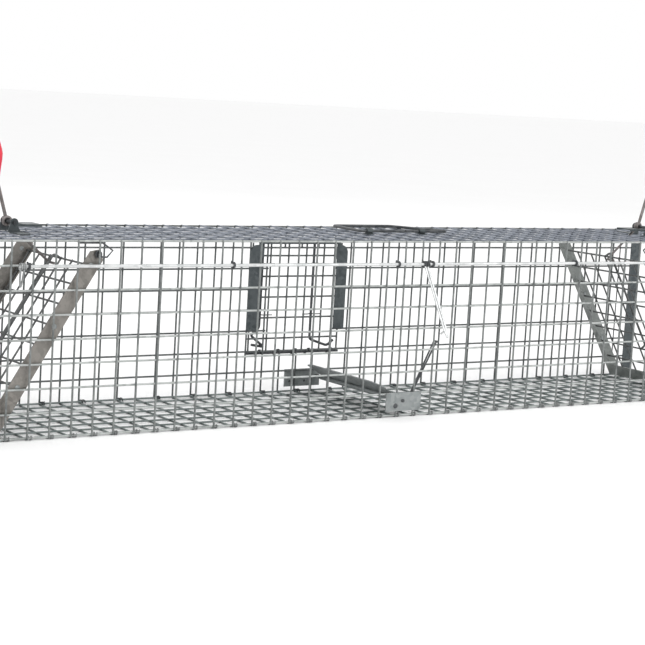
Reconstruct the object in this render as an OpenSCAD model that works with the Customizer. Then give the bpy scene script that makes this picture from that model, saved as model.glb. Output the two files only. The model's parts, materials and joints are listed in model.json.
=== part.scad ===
// Two-door live catch trap: a long welded-mesh cage with a sloping gravity door at
// each end, a treadle in the middle and a trigger rod along the front wall.
// Origin: middle of the cage, on the ground. X runs along the cage, Y from the
// front wall to the rear wall, Z up.

/* [Mesh] */
// Mesh cells along the cage
cells_long = 44; // [44:2:46]
// Mesh cells from the front wall to the rear wall
cells_wide = 7; // [7:1:7]
// Mesh cells from the floor to the top
cells_high = 8; // [8:1:8]
// Spacing of the wires along the cage
pitch_x = 25; // [25:0.1:25.4]
// Spacing of the wires across and up the cage
pitch_y = 25.75; // [25.5:0.05:26]
// Thickness of the mesh wire
wire = 2.2; // [1.8:0.1:2.4]

/* [Sheet] */
// Thickness of the folded sheet strips
sheet = 1.2; // [1:0.1:1.4]
// Width of the posts and sills at the two ends
post_w = 18; // [14:1:20]

/* [End doors] */
// Distance of a door hinge from the middle of the cage
hinge_x = 400; // [398:1:402]
// Height of a door hinge
hinge_z = 194; // [193.6:0.1:194]
// Slope of a shut door, from the vertical
door_slope = 31.8; // [31:0.2:32]
// Width of a door's side strip
strip_w = 18; // [16:1:18]
// Distance from the middle plane to the outside of a side strip
strip_y = 86; // [85.5:0.1:86]

/* [Trigger] */
// Thickness of the trigger rod
rod_d = 3.6; // [3.4:0.1:3.8]
// Length of the crank on the trigger rod
crank_l = 97; // [92:1:98]
// Outward lean of the crank after the trap has fired
crank_lean = 32; // [28:1:34]
// Height of the treadle axle
axle_z = 19.8; // [19.4:0.1:20]
// Tilt of the treadle after the trap has fired
pan_tilt = 31; // [28:1:33]

/* [Fits] */
// Radial clearance of a pin in its hole
running = 0.05; // [0.03:0.01:0.1]

/* [Hidden] */

zinc = [0.72, 0.74, 0.75];
dull_zinc = [0.55, 0.59, 0.60];
grip_red = [0.84, 0.06, 0.16];

cage_l = cells_long * pitch_x;
cage_w = cells_wide * pitch_y;
cage_h = cells_high * pitch_y;
half_w = cage_w / 2;
floor_z = sheet + wire / 2;
top_z = floor_z + cage_h;
ceiling_z = top_z - wire / 2;
roof_z = top_z + wire / 2;
wall_out = half_w + wire / 2;
wall_in = half_w - wire / 2;
x_lines = [for (i = [0 : cells_long]) (i - cells_long / 2) * pitch_x];
y_lines = [for (j = [1 : cells_wide - 1]) (j - cells_wide / 2) * pitch_y];
z_lines = [for (k = [0 : cells_high]) floor_z + k * pitch_y];

// Rear access opening, in whole cells
open_x0 = -3 * pitch_x;
open_x1 = pitch_x;
open_k0 = 2;
open_k1 = 7;

// Lever slots in the top: two cross wires are cut out in the middle row of cells
lever_x = cage_l / 2 - 87.5;
lever_z = 220;
slot_lines = [lever_x - 12.5, lever_x + 12.5];

// End door, in its own plane: u runs down the door from the hinge, v outwards
door_clear = 3.6;
pin_r = 2;
half_strip = strip_w / 2;
web_w = 9;
mesh_v = sheet + wire / 2 - half_strip;
mesh_rows = 9;
door_pitch = 25;
first_row = 12;
door_half_mesh = 80;
door_columns = 6;
foot_len = 18;
tip_u = 6;
shoulder_u = 2;
rivet_u = [14, 89, 163];
rivet_r = 1.6;
rivet_head_r = 3;
rivet_head_h = 1.3;

// Lift guide and lever hook
guide_r = 1.5;
hook_r = 1.5;
guide_v = 3;
guide_u0 = first_row;
guide_u1 = first_row + 6 * door_pitch;
hook_reach = 68;
hook_turn = 9;
lever_lean = 16.5;
lever_r = 2;
lever_y = 7;
lever_end = 106;
grip_start = 46;
grip_len = 90;
grip_w = 27;
grip_t = 13;

// Trigger rod, in front of the seventh wire up the front wall
rod_r = rod_d / 2;
rod_y = -(wall_out + 5.3);
rod_z = z_lines[7];
catch_x = 490;
collar_t = 1.6;
collar_l = 6;
rod_half = catch_x + collar_l / 2;
guide_l = 6;
guide_xs = [-482, -237.5, -12.5, 37.5, 262.5, 482];
crank_x = 26;
catch_reach = 22;
catch_drop = 80;
catch_r = 1.5;
loop_w = 6;
loop_wire = 2.4;

// Treadle
axle_x = 8;
axle_r = 2;
pan_half_l = 80;
pan_wide = 33;
pan_short = 17;
arm_y = -84;
arm_wire = 3;
plate_y = wall_out;

// Rear access door
panel_y = wall_out + 2.8;
rear_hinge_z = z_lines[open_k0] - 3.3;
panel_x0 = -95;
panel_x1 = 37;
panel_top = 188;
rear_rod_r = 1.5;
latch_r = 1.7;
latch_y = panel_y + wire / 2 + latch_r + 0.2;
left_latch_x = -78;
right_latch_x = -2;
staple_zs = [98, 162];

// Carrying handle, folded flat towards the rear
handle_y = y_lines[2];
handle_z = roof_z + 4;
handle_r = 1.8;
handle_near = [-11, 120];
handle_far = [9, 96];
handle_depth = 88;
handle_clip_xs = [1, 80];

// A round wire between two points
module rod(a, b, r) {
    d = b - a;
    len = norm(d);
    turn = atan2(d[1], d[0]);
    tip = acos(d[2] / len);
    translate(a)
        rotate([0, tip, turn])
            cylinder(h = len, r = r, $fn = 24);
}

// A round wire through a list of points, slightly swollen at each bend
module bent_wire(points, r) {
    swell = 0.12;
    for (i = [0 : len(points) - 2])
        rod(points[i], points[i + 1], r);
    for (i = [1 : len(points) - 2])
        translate(points[i])
            sphere(r = r + swell, $fn = 24);
}

// Flat bars along the second axis of a drawing
module uprights(lines, from, to) {
    for (x = lines)
        translate([x - wire / 2, from])
            square([wire, to - from]);
}

// Flat bars along the first axis of a drawing
module levels(lines, from, to) {
    for (z = lines)
        translate([from, z - wire / 2])
            square([to - from, wire]);
}

// Stands a drawing up in the XZ plane, centred on a given y
module wall_at(y) {
    translate([0, y, 0])
        rotate([90, 0, 0])
            linear_extrude(wire, center = true)
                children();
}

module front_mesh() {
    color(zinc)
        wall_at(-half_w) {
            uprights(x_lines, floor_z - wire / 2, roof_z);
            levels(z_lines, -cage_l / 2 - wire / 2, cage_l / 2 + wire / 2);
        }
}

module rear_mesh() {
    cut_lines = [for (x = x_lines) if (x > open_x0 + 1 && x < open_x1 - 1) x];
    full_lines = [for (x = x_lines) if (x < open_x0 + 1 || x > open_x1 - 1) x];
    cut_levels = [for (k = [open_k0 + 1 : open_k1 - 1]) z_lines[k]];
    full_levels = [for (k = [0 : cells_high]) if (k <= open_k0 || k >= open_k1) z_lines[k]];
    end = cage_l / 2 + wire / 2;
    color(zinc)
        wall_at(half_w) {
            uprights(full_lines, floor_z - wire / 2, roof_z);
            uprights(cut_lines, floor_z - wire / 2, z_lines[open_k0]);
            uprights(cut_lines, z_lines[open_k1], roof_z);
            levels(full_levels, -end, end);
            levels(cut_levels, -end, open_x0);
            levels(cut_levels, open_x1, end);
        }
}

module top_mesh() {
    slotted = [for (x = x_lines) if (min([for (s = slot_lines) abs(abs(x) - s)]) < 1) x];
    whole = [for (x = x_lines) if (min([for (s = slot_lines) abs(abs(x) - s)]) >= 1) x];
    half_row = pitch_y / 2;
    end = cage_l / 2 + wire / 2;
    color(zinc)
        translate([0, 0, top_z])
            linear_extrude(wire, center = true) {
                uprights(whole, -wall_in, wall_in);
                uprights(slotted, -wall_in, -half_row);
                uprights(slotted, half_row, wall_in);
                levels(y_lines, -end, end);
            }
}

module floor_mesh() {
    edge = wall_in - wire / 2;
    end = cage_l / 2 + wire / 2;
    color(zinc)
        translate([0, 0, wire / 2])
            linear_extrude(wire, center = true) {
                uprights(x_lines, -wall_in, wall_in);
                levels(concat([-edge, edge], y_lines), -end, end);
            }
}

// Clips that hook the floor's edge wire to a wall's lowest wire
module edge_clips(side, step) {
    clip_l = 4;
    wrap = 0.7;
    inside = wire + wrap;
    level = floor_z + wire / 2;
    for (i = [1 : step : cells_long - 1])
        translate([x_lines[i] + 4, side * wall_in, 0])
            mirror([0, side < 0 ? 1 : 0, 0])
                rotate([90, 0, 90])
                    linear_extrude(clip_l, center = true)
                        polygon([
                            [-inside, 0.3], [-wire, 0.3], [-wire, level], [wire, level],
                            [wire, sheet], [0, sheet], [0, sheet - wrap], [inside, sheet - wrap],
                            [inside, level + wrap], [-inside, level + wrap]
                        ]);
}

module front_edge_clips() {
    color(dull_zinc)
        edge_clips(-1, 1);
}

module rear_edge_clips() {
    color(dull_zinc)
        edge_clips(1, 2);
}

// Two posts and a head, folded from one strip, just inside the mouth
module end_frame() {
    x = cage_l / 2 - post_w;
    floor_top = floor_z + wire / 2;
    for (side = [-1, 1])
        translate([x, side > 0 ? wall_in - sheet : -wall_in, floor_top])
            cube([post_w, sheet, ceiling_z - floor_top]);
    translate([x, -wall_in, ceiling_z - sheet])
        cube([post_w, 2 * wall_in, sheet]);
}

module right_end_frame() {
    color(dull_zinc)
        end_frame();
}

module left_end_frame() {
    color(dull_zinc)
        mirror([1, 0, 0])
            end_frame();
}

// Strip on the floor between the feet of an end frame's posts
module sill() {
    translate([cage_l / 2 - post_w, -wall_in, wire])
        cube([post_w, 2 * wall_in, sheet]);
}

module right_sill() {
    color(dull_zinc)
        sill();
}

module left_sill() {
    color(dull_zinc)
        mirror([1, 0, 0])
            sill();
}

// Bent hangers on the walls, which hold the two short hinge pins under the top
module hinge_hangers() {
    drop = ceiling_z - hinge_z;
    ear_r = 4.5;
    for (side = [-1, 1])
        translate([hinge_x, side * (wall_in - sheet / 2), hinge_z])
            rotate([90, 0, 0])
                linear_extrude(sheet, center = true)
                    difference() {
                        union() {
                            circle(r = ear_r, $fn = 32);
                            polygon([
                                [-2, -4], [-10, -4.5], [-18.5, 4], [-6, drop], [23, drop],
                                [23, drop - 2.4], [-2.5, drop - 2.4], [-14, 4.2], [-8.5, -1.2], [-2, -1]
                            ]);
                        }
                        circle(r = pin_r, $fn = 32);
                    }
}

module right_hinge_hangers() {
    color(dull_zinc)
        hinge_hangers();
}

module left_hinge_hangers() {
    color(dull_zinc)
        mirror([1, 0, 0])
            hinge_hangers();
}

// Short pins with a flat head inside each side strip of a door
module hinge_pins() {
    head_y = strip_y - sheet - 1.5;
    head_t = 1.2;
    for (side = [-1, 1])
        translate([hinge_x, side * head_y, hinge_z])
            rotate([-90 * side, 0, 0]) {
                cylinder(h = wall_in - head_y, r = pin_r, $fn = 32);
                cylinder(h = head_t, r = pin_r + 1.4, $fn = 32);
            }
}

module right_hinge_pins() {
    color(zinc)
        hinge_pins();
}

module left_hinge_pins() {
    color(zinc)
        mirror([1, 0, 0])
            hinge_pins();
}

// Where the door plane at height v meets the floor clearance
function foot_u(v) = (hinge_z - door_clear + v * sin(door_slope)) / cos(door_slope);

// A bar of the door, given by its span in u, v and y
module door_bar(u, v, y) {
    translate([hinge_x, 0, hinge_z])
        rotate([0, 90 - door_slope, 0])
            translate([u[0], y[0], v[0]])
                cube([u[1] - u[0], y[1] - y[0], v[1] - v[0]]);
}

module door_mesh() {
    last_row = first_row + (mesh_rows - 1) * door_pitch;
    column = 2 * door_half_mesh / door_columns;
    rows = [for (r = [0 : mesh_rows - 1]) first_row + r * door_pitch];
    columns = [for (c = [0 : door_columns]) c * column - door_half_mesh];
    translate([hinge_x, 0, hinge_z])
        rotate([0, 90 - door_slope, 0])
            translate([0, 0, mesh_v])
                linear_extrude(wire, center = true) {
                    uprights(rows, -door_half_mesh - wire / 2, door_half_mesh + wire / 2);
                    levels(columns, first_row - wire / 2, last_row + wire / 2);
                }
}

module right_door_mesh() {
    color(zinc)
        door_mesh();
}

module left_door_mesh() {
    color(zinc)
        mirror([1, 0, 0])
            door_mesh();
}

// Angle strips along both sides of the door, pointed at the top and bored for the pin
module door_strips() {
    low = foot_u(-half_strip);
    high = foot_u(half_strip);
    for (side = [-1, 1]) {
        translate([hinge_x, side * (strip_y - sheet / 2), hinge_z])
            rotate([0, 90 - door_slope, 0])
                rotate([90, 0, 0])
                    linear_extrude(sheet, center = true)
                        difference() {
                            polygon([
                                [-tip_u, 0], [shoulder_u, -half_strip], [low, -half_strip],
                                [high, half_strip], [shoulder_u, half_strip]
                            ]);
                            circle(r = pin_r + running, $fn = 32);
                            for (u = rivet_u)
                                translate([u, 0])
                                    circle(r = rivet_r, $fn = 24);
                        }
        inner = strip_y - sheet - web_w;
        door_bar(
            [8, low - foot_len],
            [-half_strip, sheet - half_strip],
            side > 0 ? [inner, strip_y - sheet] : [sheet - strip_y, -inner]
        );
    }
}

module right_door_strips() {
    color(dull_zinc)
        door_strips();
}

module left_door_strips() {
    color(dull_zinc)
        mirror([1, 0, 0])
            door_strips();
}

// Strip across the foot of the door
module door_foot() {
    low = foot_u(-half_strip);
    door_bar([low - foot_len, low], [-half_strip, sheet - half_strip], [sheet - strip_y, strip_y - sheet]);
}

module right_door_foot() {
    color(dull_zinc)
        door_foot();
}

module left_door_foot() {
    color(dull_zinc)
        mirror([1, 0, 0])
            door_foot();
}

// One rivet along Y, its outer head at y = 0 and up
module rivet(grip) {
    rotate([-90, 0, 0]) {
        cylinder(h = rivet_head_h, r1 = rivet_head_r, r2 = rivet_head_r * 0.6, $fn = 32);
        translate([0, 0, -grip])
            cylinder(h = grip, r = rivet_r, $fn = 24);
        translate([0, 0, -grip - rivet_head_h])
            cylinder(h = rivet_head_h, r = rivet_head_r * 0.9, $fn = 32);
    }
}

module door_rivets() {
    translate([hinge_x, 0, hinge_z])
        rotate([0, 90 - door_slope, 0])
            for (u = rivet_u) {
                translate([u, strip_y, 0])
                    rivet(sheet);
                translate([u, -strip_y, 0])
                    mirror([0, 1, 0])
                        rivet(sheet);
            }
}

module right_door_rivets() {
    color(dull_zinc)
        door_rivets();
}

module left_door_rivets() {
    color(dull_zinc)
        mirror([1, 0, 0])
            door_rivets();
}

// Long staple on the outside of the door, which the lever's hook runs under
module lift_guide() {
    foot_v = mesh_v + wire / 2;
    translate([hinge_x, 0, hinge_z])
        rotate([0, 90 - door_slope, 0])
            bent_wire([
                [guide_u0, 0, foot_v], [guide_u0, 0, guide_v],
                [guide_u1, 0, guide_v], [guide_u1, 0, foot_v]
            ], guide_r);
}

module right_lift_guide() {
    color(zinc)
        lift_guide();
}

module left_lift_guide() {
    color(zinc)
        mirror([1, 0, 0])
            lift_guide();
}

// Narrow fork on the roof that carries a lever's pin, its cheeks joined by a rest plate
module lever_bracket() {
    cheek_in = 12;
    ear_r = 4.5;
    base = 7;
    foot_reach = half_w - y_lines[3] - 2 * pitch_y;
    rest_top = lever_z - 1.8;
    rest_x = [-32.5, -10.5];
    for (side = [-1, 1])
        translate([lever_x, side * (cheek_in + sheet / 2), 0]) {
            rotate([90, 0, 0])
                linear_extrude(sheet, center = true)
                    difference() {
                        union() {
                            translate([0, lever_z])
                                circle(r = ear_r, $fn = 32);
                            polygon([
                                [-base, roof_z], [base, roof_z], [base, roof_z + 2],
                                [ear_r - 0.5, lever_z], [0.5 - ear_r, lever_z], [0.5 - ear_r, rest_top],
                                [rest_x[0], rest_top], [rest_x[0], rest_top - 2.6],
                                [-ear_r, rest_top - 2.6], [-base, roof_z + 2]
                            ]);
                        }
                        translate([0, lever_z])
                            circle(r = pin_r, $fn = 32);
                    }
            translate([-base, side > 0 ? sheet / 2 : -sheet / 2 - foot_reach, roof_z])
                cube([2 * base, foot_reach, sheet]);
        }
    translate([lever_x + rest_x[0], -cheek_in, rest_top - sheet])
        cube([rest_x[1] - rest_x[0], 2 * cheek_in, sheet]);
}

module right_lever_bracket() {
    color(dull_zinc)
        lever_bracket();
}

module left_lever_bracket() {
    color(dull_zinc)
        mirror([1, 0, 0])
            lever_bracket();
}

module lever_pin() {
    translate([lever_x, 0, lever_z])
        rotate([90, 0, 0])
            cylinder(h = 30, r = pin_r, center = true, $fn = 32);
}

module right_lever_pin() {
    color(zinc)
        lever_pin();
}

module left_lever_pin() {
    color(zinc)
        mirror([1, 0, 0])
            lever_pin();
}

// Point on the lever: distance from its pin and angle from the vertical, outwards positive
function lever_point(reach, lean) =
    [lever_x + reach * sin(lean), lever_y, lever_z + reach * cos(lean)];

// Lever wire: an eye on the pin, an arm up to the grip and an arm down to the hook
module lever() {
    hook_lean = 270 - door_slope - hook_turn;
    eye_r = 5.2;
    eye_l = 2 * lever_r + 4;
    difference() {
        union() {
            translate([lever_x, lever_y, lever_z])
                rotate([90, 0, 0])
                    cylinder(h = eye_l, r = eye_r, center = true, $fn = 32);
            rod(lever_point(3.6, lever_lean), lever_point(lever_end, lever_lean), lever_r);
            rod(lever_point(3.6, hook_lean), lever_point(hook_reach, hook_lean), lever_r);
            translate(lever_point(hook_reach, hook_lean))
                rotate([90, 0, 0])
                    cylinder(h = 13, r = hook_r, $fn = 24);
        }
        translate([lever_x, lever_y, lever_z])
            rotate([90, 0, 0])
                cylinder(h = 3 * eye_l, r = pin_r + running, center = true, $fn = 32);
    }
}

module right_lever() {
    color(zinc)
        lever();
}

module left_lever() {
    color(zinc)
        mirror([1, 0, 0])
            lever();
}

// Flattened tapered grip over the end of the lever wire
module grip() {
    slope = [[0, 5], [28, grip_w], [grip_len - 12, grip_w - 5], [grip_len, grip_w - 15]];
    translate(lever_point(grip_start, lever_lean))
        rotate([0, lever_lean, 0])
            difference() {
                rotate([90, 0, 0])
                    linear_extrude(grip_t, center = true)
                        polygon(concat(
                            [for (p = slope) [p[1] / 2, p[0]]],
                            [for (i = [len(slope) - 1 : -1 : 0]) [-slope[i][1] / 2, slope[i][0]]]
                        ));
                translate([0, 0, -1])
                    cylinder(h = lever_end - grip_start + 1, r = lever_r, $fn = 24);
            }
}

module right_grip() {
    color(grip_red)
        grip();
}

module left_grip() {
    color(grip_red)
        mirror([1, 0, 0])
            grip();
}

module trigger_rod() {
    color(zinc)
        translate([0, rod_y, rod_z])
            rotate([0, 90, 0])
                cylinder(h = 2 * rod_half, r = rod_r, center = true, $fn = 32);
}

// Eyes clipped to the seventh wire of the front wall, which carry the rod
module rod_guides() {
    eye_r = rod_r + collar_t;
    color(dull_zinc)
        for (x = guide_xs)
            translate([x, rod_y, rod_z])
                rotate([90, 0, 90])
                    linear_extrude(guide_l, center = true)
                        difference() {
                            union() {
                                circle(r = eye_r, $fn = 32);
                                translate([0, -1.5])
                                    square([-wall_out - rod_y, 3]);
                            }
                            circle(r = rod_r + running, $fn = 32);
                        }
}

// Long narrow wire loop that hangs from the rod, with a hook near its lower end
module crank() {
    hook_at = 84;
    hook_l = 12;
    hook_r = 1.2;
    bar = 1.4;
    collar_r = rod_r + collar_t;
    color(zinc)
        translate([crank_x, rod_y, rod_z])
            rotate([-crank_lean, 0, 0]) {
                rotate([90, 0, 0])
                    linear_extrude(loop_wire, center = true)
                        difference() {
                            polygon([
                                [-loop_w / 2, -rod_r - 0.6], [loop_w / 2, -rod_r - 0.6],
                                [loop_w / 2 + 0.6, -hook_at], [1.2, -crank_l],
                                [-1.2, -crank_l], [-loop_w / 2 - 0.6, -hook_at]
                            ]);
                            polygon([
                                [bar - loop_w / 2, -collar_r - 3], [loop_w / 2 - bar, -collar_r - 3],
                                [loop_w / 2 + 0.4 - bar, 1 - hook_at], [0, 8 - crank_l],
                                [bar - loop_w / 2 - 0.4, 1 - hook_at]
                            ]);
                        }
                rotate([0, 90, 0])
                    difference() {
                        cylinder(h = 8, r = collar_r, center = true, $fn = 32);
                        cylinder(h = 10, r = rod_r, center = true, $fn = 32);
                    }
                translate([loop_w / 2 - 0.5, loop_wire / 2 - 0.4, -hook_at])
                    rotate([-90, 0, 0])
                        cylinder(h = hook_l, r = hook_r, $fn = 24);
            }
}

// Finger on an end of the rod, which swings in under a raised door
module door_catch() {
    translate([catch_x, rod_y, rod_z])
        rotate([-catch_drop, 0, 0])
            difference() {
                union() {
                    rotate([0, 90, 0])
                        cylinder(h = collar_l, r = rod_r + collar_t, center = true, $fn = 32);
                    rod([0, rod_r, 0], [0, catch_reach, 0], catch_r);
                }
                rotate([0, 90, 0])
                    cylinder(h = 2 * collar_l, r = rod_r, center = true, $fn = 32);
            }
}

module right_door_catch() {
    color(zinc)
        door_catch();
}

module left_door_catch() {
    color(zinc)
        mirror([1, 0, 0])
            door_catch();
}

module treadle_axle() {
    color(zinc)
        translate([axle_x, 0, axle_z])
            rotate([90, 0, 0])
                cylinder(h = 2 * (plate_y + sheet + 2), r = axle_r, center = true, $fn = 32);
}

// Plate on a rolled tube round the axle, with its corners cut off
module treadle_pan() {
    tube_r = axle_r + sheet;
    corner = 16;
    color(dull_zinc)
        translate([axle_x, 0, axle_z])
            rotate([0, pan_tilt, 0])
                difference() {
                    union() {
                        rotate([90, 0, 0])
                            cylinder(h = 2 * pan_half_l, r = tube_r, center = true, $fn = 32);
                        translate([0, 0, axle_r])
                            linear_extrude(sheet)
                                polygon([
                                    [0, -pan_half_l], [0, pan_half_l],
                                    [-pan_wide + 6, pan_half_l], [-pan_wide, pan_half_l - corner],
                                    [-pan_wide, corner - pan_half_l], [-pan_wide + 6, -pan_half_l]
                                ]);
                        translate([0, 0, axle_r])
                            linear_extrude(sheet)
                                polygon([
                                    [0, -pan_half_l], [0, pan_half_l],
                                    [pan_short, pan_half_l - 8], [pan_short, 8 - pan_half_l]
                                ]);
                    }
                    rotate([90, 0, 0])
                        cylinder(h = 3 * pan_half_l, r = axle_r, center = true, $fn = 32);
                }
}

// Bent wire fixed on the axle inside the front wall, with a small hook at its tip
module treadle_arm() {
    knee = [axle_x + 14, arm_y, axle_z + 1];
    tip = [axle_x + 49, arm_y, axle_z + 68.2];
    color(zinc)
        difference() {
            union() {
                translate([axle_x, arm_y, axle_z])
                    rotate([90, 0, 0])
                        cylinder(h = 4, r = axle_r + 2, center = true, $fn = 32);
                bent_wire([
                    [axle_x + 3.2, arm_y, axle_z], knee, tip, tip + [5, 0, -1.5]
                ], arm_wire / 2);
            }
            translate([axle_x, arm_y, axle_z])
                rotate([90, 0, 0])
                    cylinder(h = 10, r = axle_r, center = true, $fn = 32);
        }
}

// Plate outside a wall that carries one end of the treadle axle
module treadle_plate(x0, x1, side) {
    z0 = 7.5;
    z1 = 29.5;
    translate([0, side * (plate_y + sheet / 2), 0])
        rotate([90, 0, 0])
            linear_extrude(sheet, center = true)
                difference() {
                    translate([x0, z0])
                        square([x1 - x0, z1 - z0]);
                    translate([axle_x, axle_z])
                        circle(r = axle_r + running, $fn = 32);
                    for (x = plate_rivet_xs(x0))
                        translate([x, plate_rivet_z])
                            circle(r = rivet_r, $fn = 24);
                }
}

plate_rivet_z = 14;
front_plate_x = [-16, 35];
rear_plate_x = [-40, 13];
function plate_rivet_xs(x0) = x0 < -20 ? [x0 + 8, x0 + 30] : [x0 + 14];

module front_treadle_plate() {
    color(dull_zinc)
        treadle_plate(front_plate_x[0], front_plate_x[1], -1);
}

module rear_treadle_plate() {
    color(dull_zinc)
        treadle_plate(rear_plate_x[0], rear_plate_x[1], 1);
}

// Dome rivets of the two plates, clear of the mesh behind them
module treadle_plate_rivets() {
    color(dull_zinc)
        for (side = [-1, 1]) {
            span = side < 0 ? front_plate_x : rear_plate_x;
            for (x = plate_rivet_xs(span[0]))
                translate([x, side * (plate_y + sheet), plate_rivet_z])
                    rotate([side < 0 ? 90 : -90, 0, 0]) {
                        cylinder(h = rivet_head_h, r1 = rivet_head_r, r2 = rivet_head_r * 0.6, $fn = 32);
                        translate([0, 0, -sheet])
                            cylinder(h = sheet, r = rivet_r, $fn = 24);
                    }
        }
}

rear_rows = [for (r = [0 : 4]) 69 + r * pitch_y];
rear_columns = [for (c = [0 : 5]) panel_x0 + c * (panel_x1 - panel_x0) / 5];

module rear_door_mesh() {
    color(zinc)
        wall_at(panel_y) {
            uprights(rear_columns, rear_hinge_z + rear_rod_r, panel_top);
            levels(rear_rows, panel_x0 - wire / 2, panel_x1 + wire / 2);
        }
}

// One side of the edging, its top corner rounded on the side away from the opening
module edging_plate(w, foot, top) {
    round_r = 10;
    translate([0, foot])
        square([w, top - foot - round_r]);
    translate([0, top - round_r])
        square([w - round_r, round_r]);
    translate([w - round_r, top - round_r])
        circle(r = round_r, $fn = 48);
}

// Sheet edging inside the rear wall, down both sides and over the top of the opening
module access_edging() {
    y = wall_in - sheet / 2;
    left_x = -84.5;
    right_x = 27;
    foot = 80;
    top = 186;
    bar_z = 187;
    bar_h = 3.4;
    tab = 5;
    color(dull_zinc)
        translate([0, y, 0])
            rotate([90, 0, 0])
                linear_extrude(sheet, center = true) {
                    translate([right_x, 0])
                        edging_plate(16, foot, top);
                    translate([left_x, 0])
                        mirror([1, 0])
                            edging_plate(17.5, foot, top);
                    for (x = [left_x - tab, right_x])
                        translate([x, top - 2 * tab])
                            square([tab, bar_z + bar_h - top + 2 * tab]);
                    translate([left_x - tab, bar_z])
                        square([right_x - left_x + 2 * tab, bar_h]);
                }
}

// Thin upright inside the rear wall, just inboard of the right end frame
module right_end_upright() {
    upright_r = 0.8;
    color(zinc)
        translate([cage_l / 2 - 39, wall_in - upright_r, wire])
            cylinder(h = ceiling_z - wire, r = upright_r, $fn = 24);
}

module rear_door_hinge_rod() {
    color(zinc)
        rod([panel_x0 - 3, panel_y, rear_hinge_z], [panel_x1 + 3, panel_y, rear_hinge_z], rear_rod_r);
}

// Clips on the wall wire below the opening, which carry the hinge rod
module rear_hinge_clips() {
    depth = panel_y - wall_out;
    color(dull_zinc)
        for (x = [-82, -55, -29, -9, 24])
            translate([x, panel_y, rear_hinge_z])
                rotate([90, 0, 90])
                    linear_extrude(6, center = true)
                        difference() {
                            union() {
                                circle(r = 2.8, $fn = 32);
                                translate([-depth, -2.8])
                                    square([depth, 7]);
                            }
                            circle(r = rear_rod_r + running, $fn = 32);
                        }
}

// Staples on the rear door, two for each latch rod
module latch_staples() {
    wrap = 1.4;
    face_y = panel_y + wire / 2;
    ends = [[left_latch_x, 17.5], [right_latch_x, 14]];
    color(dull_zinc)
        for (end = ends)
            for (z = staple_zs)
                translate([end[0], 0, z - 2])
                    linear_extrude(4)
                        difference() {
                            union() {
                                translate([0, latch_y])
                                    circle(r = latch_r + wrap, $fn = 32);
                                translate([-end[1], face_y])
                                    square([2 * end[1], sheet]);
                            }
                            translate([0, latch_y])
                                circle(r = latch_r + running, $fn = 32);
                            translate([-5, face_y - 5])
                                square([10, 5]);
                        }
}

// Upright latch wire: a nose towards the wall at the top, then a finger hook below the foot
module latch(x, foot, hook) {
    nose = 4.4;
    top = 190;
    bent_wire(concat(
        [[x, latch_y - nose, top], [x, latch_y, top], [x, latch_y, foot]],
        [for (p = hook) [x + p[0], latch_y, foot + p[1]]]
    ), latch_r);
}

module left_rear_latch() {
    color(zinc)
        latch(left_latch_x, 82, [[-12, -9], [8, -24], [-10, -21]]);
}

module right_rear_latch() {
    color(zinc)
        latch(right_latch_x, 69, [[2.5, -3.5], [27, -12], [36, -5]]);
}

// Folding wire handle: a run that turns in the clips, two slanting arms and a far run
module carry_handle() {
    run_r = handle_r + 0.1;
    near = [for (x = handle_near) [x, handle_y, handle_z]];
    far = [for (x = handle_far) [x, handle_y + handle_depth, roof_z + run_r + 0.2]];
    color(zinc) {
        rod(near[0] - [1, 0, 0], near[1] + [1, 0, 0], run_r);
        rod(far[0] - [1, 0, 0], far[1] + [1, 0, 0], run_r);
        for (i = [0, 1]) {
            way = (far[i] - near[i]) / norm(far[i] - near[i]);
            rod(near[i] - way, far[i] + way, handle_r);
        }
    }
}

// Eyes on feet that sit on the roof wires, which carry the handle's near run
module handle_clips() {
    base = handle_z - roof_z;
    bore = handle_r + 0.1 + running;
    color(dull_zinc)
        for (x = handle_clip_xs)
            translate([x, handle_y, handle_z])
                rotate([90, 0, 90])
                    linear_extrude(8, center = true)
                        difference() {
                            union() {
                                circle(r = bore + 1.4, $fn = 32);
                                translate([-6, -base])
                                    square([12, sheet]);
                                translate([-2, -base])
                                    square([4, base]);
                            }
                            circle(r = bore, $fn = 32);
                        }
}

front_mesh();
rear_mesh();
top_mesh();
floor_mesh();
front_edge_clips();
rear_edge_clips();
left_end_frame();
right_end_frame();
left_sill();
right_sill();
left_hinge_hangers();
right_hinge_hangers();
left_hinge_pins();
right_hinge_pins();
left_door_mesh();
right_door_mesh();
left_door_strips();
right_door_strips();
left_door_foot();
right_door_foot();
left_door_rivets();
right_door_rivets();
left_lift_guide();
right_lift_guide();
left_lever_bracket();
right_lever_bracket();
left_lever_pin();
right_lever_pin();
left_lever();
right_lever();
left_grip();
right_grip();
trigger_rod();
crank();
left_door_catch();
right_door_catch();
rod_guides();
treadle_axle();
treadle_pan();
treadle_arm();
front_treadle_plate();
rear_treadle_plate();
treadle_plate_rivets();
access_edging();
right_end_upright();
rear_door_mesh();
rear_door_hinge_rod();
rear_hinge_clips();
latch_staples();
left_rear_latch();
right_rear_latch();
carry_handle();
handle_clips();
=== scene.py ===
"""Looks of the two-door live catch trap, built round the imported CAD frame."""

import json
import math
import random

import bpy
from mathutils import Matrix, Vector


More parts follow.
